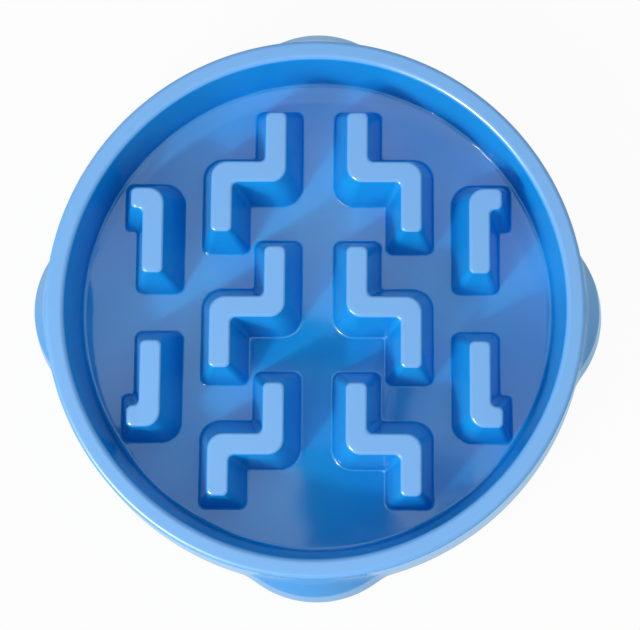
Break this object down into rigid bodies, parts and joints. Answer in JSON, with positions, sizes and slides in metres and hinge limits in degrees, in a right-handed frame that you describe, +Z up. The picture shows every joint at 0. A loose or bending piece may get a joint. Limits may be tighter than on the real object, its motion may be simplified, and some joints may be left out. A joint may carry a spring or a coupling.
{
  "type": "slow feeder bowl",
  "caption": "Round slow feeder pet bowl with Z-shaped and J-shaped ridges moulded into its floor, flared foot lobes round its skirt and rubber anti-slip pads underneath.",
  "frame": {"origin": "on the ground under the middle of the bowl, between the foot pads", "axes": "+Z up through the mouth of the bowl, -Y towards the front row of ridges, +X to the right"},
  "size_m": [0.242, 0.242, 0.044],
  "materials": {
    "bowl_plastic": "glossy as moulded, sky blue",
    "pad_rubber": "matt dark grey"
  },
  "bodies": {
    "root": {"bowl": "bowl_plastic", "foot_pad_front": "pad_rubber", "foot_pad_right": "pad_rubber", "foot_pad_back": "pad_rubber", "foot_pad_left": "pad_rubber"}
  },
  "joints": []
}
